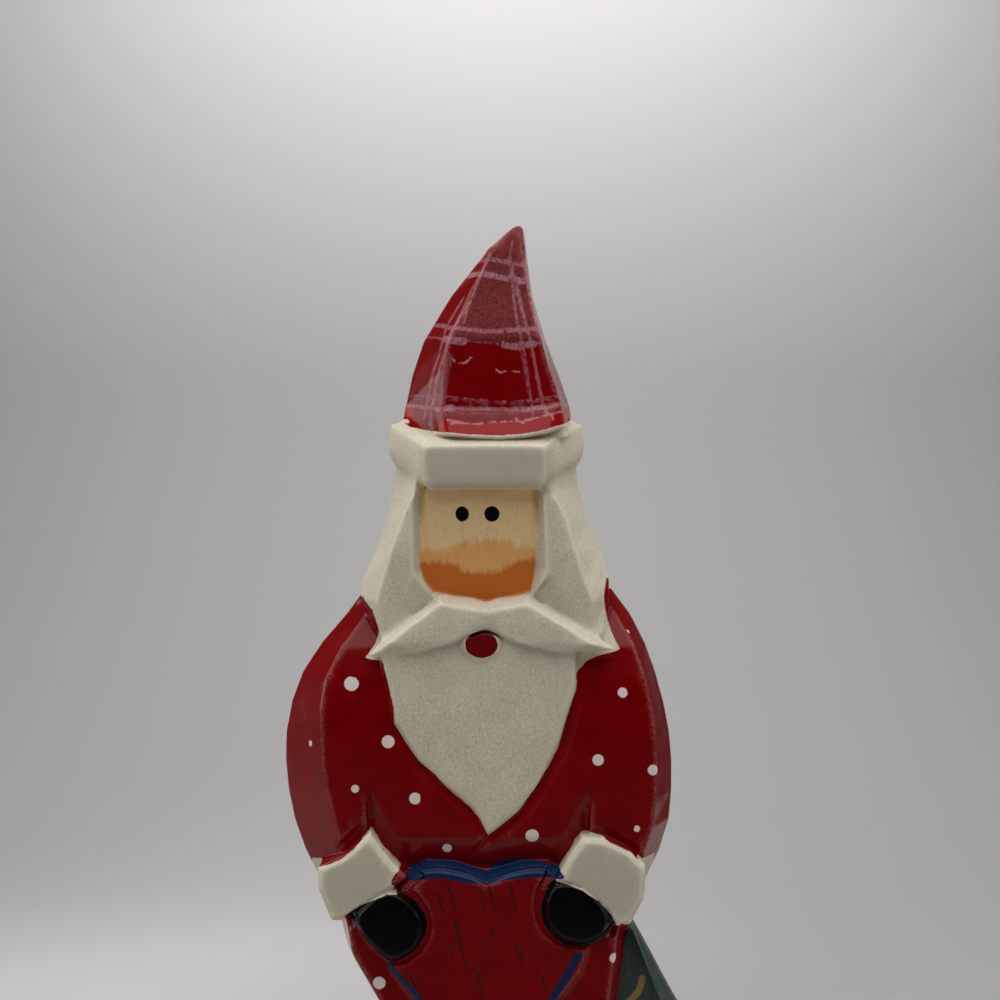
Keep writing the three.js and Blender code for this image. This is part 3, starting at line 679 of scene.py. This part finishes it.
def mix(share, first, second):
    """Colours, or numbers where both are numbers."""
    made = nodes.new("ShaderNodeMix")
    colours = any(isinstance(v, tuple) or getattr(v, "type", "") == "RGBA" for v in (first, second))
    made.data_type = "RGBA" if colours else "FLOAT"
    put(share, made.inputs[0])
    for value, socket in zip((first, second), made.inputs[6:8] if colours else made.inputs[2:4]):
        put((*value, 1) if isinstance(value, tuple) else value, socket)
    return made.outputs[2 if colours else 0]


place = nodes.new("ShaderNodeTexCoord").outputs["Object"]


def grain(size, detail=2.0, rough=0.5):
    """Noise from 0 to 1 with lumps of that size in millimetres: one number, or one for each axis."""
    mapping = nodes.new("ShaderNodeMapping")
    put(place, mapping.inputs["Vector"])
    mapping.inputs["Scale"].default_value = tuple(1 / (MM * s) for s in np.broadcast_to(size, 3))
    made = nodes.new("ShaderNodeTexNoise")
    put(mapping.outputs[0], made.inputs["Vector"])
    made.inputs["Scale"].default_value = 1
    made.inputs["Detail"].default_value = detail
    made.inputs["Roughness"].default_value = rough
    return made.outputs[0]


def field(name):
    made = nodes.new("ShaderNodeAttribute")
    made.attribute_name = "paint_" + name
    return made.outputs["Fac"]


RED = (0.215, 0.0014, 0.003)
RED_DEEP = (0.18, 0.001, 0.002)
RED_BRIGHT = (0.34, 0.003, 0.006)
RED_DUSTY = (0.25, 0.012, 0.012)
RED_DARK_SPECK = (0.07, 0.007, 0.007)
# Pale pink: real scratches on the hat, and the painted highlight on the robe's ridges.
RED_WORN_AND_HIGHLIGHT = (0.5, 0.17, 0.17)
PLAID_PAINT = (0.66, 0.36, 0.45)
WHITE = (0.68, 0.62, 0.49)
WHITE_GREY = (0.62, 0.57, 0.45)
# Warm cream: the sandy grain of the white, and its painted highlight on ridges.
WHITE_WARM_AND_HIGHLIGHT = (0.80, 0.74, 0.57)
WHITE_SHADE = (0.52, 0.47, 0.36)
# A greyer white for the front of the brim and the cuffs.
WHITE_GREYED = (0.50, 0.47, 0.37)
# Grey-brown: grime in the pores of the white and the skin, and the painted shade in the creases of the
# white.
GRIME_AND_SHADE = (0.22, 0.19, 0.14)
GREEN = (0.045, 0.066, 0.055)
# Pale green: the grain of the tree, and its painted highlight on ridges.
GREEN_GRAIN_AND_HIGHLIGHT = (0.09, 0.11, 0.10)
GOLD_PAINT = (0.32, 0.21, 0.07)
SKIN = (0.92, 0.66, 0.34)
SKIN_FLUSHED = (0.82, 0.42, 0.15)
BLUSH = (0.62, 0.165, 0.024)
BLACK = (0.003, 0.003, 0.0035)
BLUE = (0.007, 0.024, 0.08)
PORE = (0.05, 0.004, 0.005)

fine = grain(0.5, 2)
wobble = calc("MULTIPLY_ADD", grain(1.6, 3), 0.5, -0.25)
blotch = grain(7, 3)
brush = grain((0.9, 0.9, 5), 3)
proud = field("proud")
# Where the carving stands proud and where it sinks in: below, highlight is painted on the ridges and shade
# in the creases.
ridge = ramp(proud, 0.05, 0.2)
crease = ramp(proud, -0.05, -0.3)

robe_red = mix(ramp(blotch, 0.35, 0.7), RED, RED_DEEP)
# Convex ridges of the red are painted lighter and pinker: a painted highlight of the gloss on rounded edges,
# with a little real wear of the paint there.
robe_red = mix(calc("MULTIPLY", ridge, ramp(fine, 0.35, 0.6, 0.0, 0.3)), robe_red, RED_WORN_AND_HIGHLIGHT)
upper_red = mix(ramp(fine, 0.4, 0.62), RED_DARK_SPECK, RED_DUSTY)
plaid_share = ramp(calc("ADD", field("plaid"), calc("MULTIPLY", wobble, 1.2)), -0.2, 0.3)
plaid_share = calc("MULTIPLY", plaid_share, calc("MULTIPLY", field("plaid_thick"), 0.7))
plaid_share = calc("MULTIPLY", plaid_share, ramp(grain((0.8, 0.8, 1.4), 3), 0.3, 0.62, 0.35, 1.0))

white = mix(ramp(blotch, 0.35, 0.65), WHITE, WHITE_GREY)
sand = grain(0.42, 2, 0.7)
white = mix(ramp(sand, 0.5, 0.68, 0.0, 0.8), white, WHITE_WARM_AND_HIGHLIGHT)
white = mix(ramp(sand, 0.48, 0.34, 0.0, 0.8), white, WHITE_SHADE)
# The front of the brim and the cuffs are painted a greyer white.
white = mix(ramp(field("grey"), -1.5, 1.5, 0.0, 0.8), white, WHITE_GREYED)
white = mix(ramp(grain((0.4, 0.4, 1.1), 2), 0.66, 0.76, 0.0, 0.75), white, GRIME_AND_SHADE)
# Convex ridges of the white are painted brighter: a painted highlight.
white = mix(calc("MULTIPLY", ridge, 0.6), white, WHITE_WARM_AND_HIGHLIGHT)
# Hollows and creases of the white are painted darker: painted shade.
white = mix(calc("MULTIPLY", crease, 0.4), white, GRIME_AND_SHADE)

blush_edge = calc("MULTIPLY", calc("ADD", calc("ADD", brush, grain(2.4, 3)), -1.0), 2.4)
skin = mix(ramp(calc("ADD", field("blush_light"), blush_edge), -1.4, 1.6), SKIN, SKIN_FLUSHED)
skin = mix(ramp(calc("ADD", field("blush_deep"), blush_edge), -0.9, 1.1), skin, BLUSH)
skin = mix(ramp(calc("MULTIPLY", fine, brush), 0.3, 0.42, 0.0, 0.25), skin, GRIME_AND_SHADE)
bark = grain((0.5, 0.5, 6), 3)
green = mix(ramp(bark, 0.5, 0.72), GREEN, GREEN_GRAIN_AND_HIGHLIGHT)
# Convex ridges of the tree are painted paler: a painted highlight.
green = mix(calc("MULTIPLY", ridge, 0.5), green, GREEN_GRAIN_AND_HIGHLIGHT)

# Each paint as its field, its colour, its roughness, and how soft its edge is in millimetres.
paints = [
    ("upper", upper_red, 0.65, 0.9),
    ("foot", RED_BRIGHT, 0.16, 0.2),
    ("plaid", PLAID_PAINT, 0.35, 0),
    ("scratch", RED_WORN_AND_HIGHLIGHT, 0.4, 0.12),
    ("tree", green, 0.45, 0.06),
    ("gold", GOLD_PAINT, 0.35, 0.3),
    ("dot", (0.84, 0.74, 0.69), 0.4, 0.1),
    ("hem", white, 0.5, 0.06),
    ("white", white, 0.5, 0.06),
    ("face", skin, 0.35, 0.35),
    ("eye", BLACK, 0.25, 0.1),
    ("mouth", RED_DEEP, 0.2, 0.06),
    ("mitten", BLACK, 0.2, 0.06),
    ("blue", BLUE, 0.22, 0.1),
    ("pore", PORE, 0.5, 0.06),
    ("boot", BLACK, 0.2, 0.06),
    ("base", white, 0.5, 0.06),
]
colour, roughness, chalk = robe_red, 0.16, 0.0
for name, paint, rough, soft in paints:
    edge = field(name)
    if name not in ("eye", "dot"):
        edge = calc("ADD", edge, wobble)
    share = plaid_share if name == "plaid" else ramp(edge, -soft, soft)
    colour = mix(share, colour, paint)
    roughness = mix(share, roughness, rough)
    if paint is white or name == "face":
        chalk = mix(share, chalk, 0.4 if name == "face" else 1.0)

put(colour, shader.inputs["Base Color"])
put(roughness, shader.inputs["Roughness"])
shader.inputs["IOR"].default_value = 1.5
shader.inputs["Specular IOR Level"].default_value = 0.2

# White paint is sandy, and the red is smooth with faint brush marks.
bump = nodes.new("ShaderNodeBump")
bump.inputs["Strength"].default_value = 0.5
bump.inputs["Distance"].default_value = 0.12 * MM
sandy = calc("ADD", sand, calc("MULTIPLY", grain(1.1, 2), 0.7))
put(mix(chalk, calc("MULTIPLY", brush, 0.35), sandy), bump.inputs["Height"])
put(bump.outputs[0], shader.inputs["Normal"])

carving.data.materials.append(material)
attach(carving, "root")
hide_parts("santa")

# Stage and light


def backdrop():
    """A pale floor that curves up into a wall behind."""
    FRONT, WALL, TOP, HALF, RADIUS = -1.2, 0.95, 1.6, 1.8, 0.35
    turn = np.linspace(0, math.pi / 2, 17)
    bend = [(WALL - RADIUS + RADIUS * math.sin(a), RADIUS - RADIUS * math.cos(a)) for a in turn]
    profile = [(FRONT, 0), *bend, (WALL, TOP)]
    corners = [(side * HALF, y, z) for y, z in profile for side in (-1, 1)]
    faces = [(2 * i, 2 * i + 1, 2 * i + 3, 2 * i + 2) for i in range(len(profile) - 1)]
    mesh = bpy.data.meshes.new("backdrop")
    mesh.from_pydata(corners, [], faces)
    mesh.shade_smooth()
    sheet = bpy.data.objects.new("backdrop", mesh)
    bpy.context.scene.collection.objects.link(sheet)
    paper = bpy.data.materials.new("paper")
    paper.use_nodes = True
    paper.node_tree.nodes["Principled BSDF"].inputs["Base Color"].default_value = (0.50, 0.49, 0.48, 1)
    paper.node_tree.nodes["Principled BSDF"].inputs["Roughness"].default_value = 0.9
    mesh.materials.append(paper)


def dark_card(name, corners):
    """A card that only the gloss sees, as a photographer keeps reflections off a painted surface."""
    mesh = bpy.data.meshes.new(name)
    mesh.from_pydata(corners, [], [(0, 1, 2, 3)])
    card = bpy.data.objects.new(name, mesh)
    bpy.context.scene.collection.objects.link(card)
    felt = bpy.data.materials.new(name)
    felt.use_nodes = True
    felt.node_tree.nodes["Principled BSDF"].inputs["Base Color"].default_value = (0.05, 0.05, 0.05, 1)
    felt.node_tree.nodes["Principled BSDF"].inputs["Roughness"].default_value = 1
    mesh.materials.append(felt)
    card.visible_camera = False
    card.visible_diffuse = False
    card.visible_shadow = False


def area_light(name, at, aim, size, power, spread=180, glossy=True):
    light = bpy.data.lights.new(name, "AREA")
    light.spread = math.radians(spread)
    light.shape = "RECTANGLE"
    light.size, light.size_y = size
    light.energy = power
    lamp = bpy.data.objects.new(name, light)
    lamp.location = at
    lamp.rotation_euler = (Vector(aim) - Vector(at)).to_track_quat("-Z", "Y").to_euler()
    lamp.visible_camera = False
    lamp.visible_glossy = glossy
    bpy.context.scene.collection.objects.link(lamp)


def world_light():
    """A soft tent, pale to the figure's left and dark where the camera stands."""
    world = bpy.data.worlds.new("tent")
    bpy.context.scene.world = world
    world.use_nodes = True
    tree = world.node_tree

    def lit(socket, low, high, start, end):
        made = tree.nodes.new("ShaderNodeMapRange")
        made.interpolation_type = "SMOOTHSTEP"
        tree.links.new(socket, made.inputs["Value"])
        for name, value in [("From Min", low), ("From Max", high), ("To Min", start), ("To Max", end)]:
            made.inputs[name].default_value = value
        return made.outputs["Result"]

    def join(operation, first, second):
        made = tree.nodes.new("ShaderNodeMath")
        made.operation = operation
        tree.links.new(first, made.inputs[0])
        tree.links.new(second, made.inputs[1])
        return made.outputs[0]

    split = tree.nodes.new("ShaderNodeSeparateXYZ")
    tree.links.new(tree.nodes.new("ShaderNodeTexCoord").outputs["Generated"], split.inputs[0])
    left_side = lit(split.outputs[0], -0.5, -0.9, 0.01, 2.2)
    right_side = lit(split.outputs[0], 0.5, 0.9, 0.01, 1.5)
    sides = join("ADD", left_side, right_side)
    background = tree.nodes["Background"]
    sides = join("MULTIPLY", sides, lit(split.outputs[2], -0.12, 0.14, 0.12, 1))
    strength = join("MULTIPLY", sides, lit(split.outputs[1], -0.35, -0.05, 0.05, 1))
    tree.links.new(strength, background.inputs["Strength"])
    background.inputs["Color"].default_value = (1, 0.99, 0.97, 1)
    plain = tree.nodes.new("ShaderNodeBackground")
    plain.inputs["Color"].default_value = (0.42, 0.42, 0.41, 1)
    seen = tree.nodes.new("ShaderNodeMixShader")
    tree.links.new(tree.nodes.new("ShaderNodeLightPath").outputs["Is Camera Ray"], seen.inputs[0])
    tree.links.new(background.outputs[0], seen.inputs[1])
    tree.links.new(plain.outputs[0], seen.inputs[2])
    tree.links.new(seen.outputs[0], tree.nodes["World Output"].inputs["Surface"])


backdrop()
world_light()
dark_card("card_right", [(0.42, 0.08, 0), (0.42, 1.2, 0), (0.42, 1.2, 1.2), (0.42, 0.08, 1.2)])
dark_card("card_left", [(-0.42, 0.3, 0), (-0.42, 1.2, 0), (-0.42, 1.2, 1.2), (-0.42, 0.3, 1.2)])
dark_card("card_front", [(-0.6, -1.2, 0.002), (0.6, -1.2, 0.002), (0.6, -0.2, 0.002), (-0.6, -0.2, 0.002)])
area_light("roof", (0, -0.265, 0.85), (0, -0.265, 0), (1.2, 0.93), 7.3)
area_light("wall", (0, 0.6, 0.84), (0, 0.95, 0.6), (0.7, 0.12), 3.8)
# One faint strip brightens the floor behind the figure, and a low one lifts the front a little.
area_light("floor", (-0.2, 0.34, 0.5), (-0.24, 0.38, 0), (0.5, 0.1), 0.18, spread=60, glossy=False)
area_light("bounce", (0, -0.42, 0.03), (0, 0, 0.18), (0.8, 0.3), 0.12, glossy=False)
bpy.context.scene.view_settings.view_transform = "Standard"
